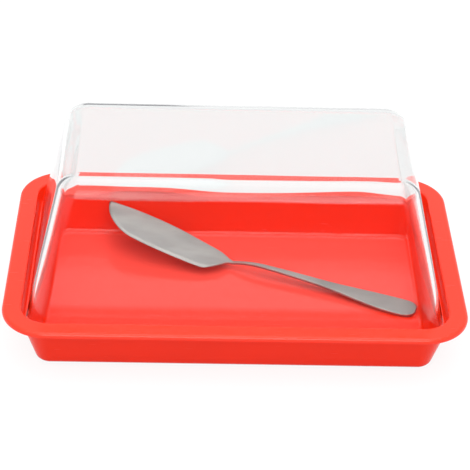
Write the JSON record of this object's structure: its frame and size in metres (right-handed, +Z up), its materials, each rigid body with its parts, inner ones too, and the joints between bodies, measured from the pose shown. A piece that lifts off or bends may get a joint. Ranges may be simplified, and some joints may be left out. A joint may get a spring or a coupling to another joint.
{
  "type": "butter dish",
  "caption": "Butter dish: a shallow rectangular plastic tray with flanged ends, a tall tapered clear cover that drops into its rim, and a steel butter knife lying inside.",
  "frame": {"origin": "middle of the tray's footprint, on the plane that the foot stands on", "axes": "+X along the tray's length, towards the handle end of the knife; +Z up; -Y towards the user"},
  "size_m": [0.205, 0.131, 0.0858],
  "materials": {
    "tray": "glossy injection-moulded red polypropylene",
    "cover": "clear injection-moulded polystyrene",
    "butter_knife": "satin stamped stainless steel"
  },
  "bodies": {
    "tray": {"tray": "tray"},
    "cover": {"cover": "cover"},
    "butter_knife": {"butter_knife": "butter_knife"}
  },
  "joints": [
    {"name": "cover_lift", "type": "slide", "parent": "tray", "child": "cover", "axis": [0, 0, 1], "range_m": [0, 0.11]},
    {"name": "knife_lift", "type": "slide", "parent": "tray", "child": "butter_knife", "axis": [-0.2494, -0.449, 0.858], "range_m": [0, 0.034]}
  ]
}
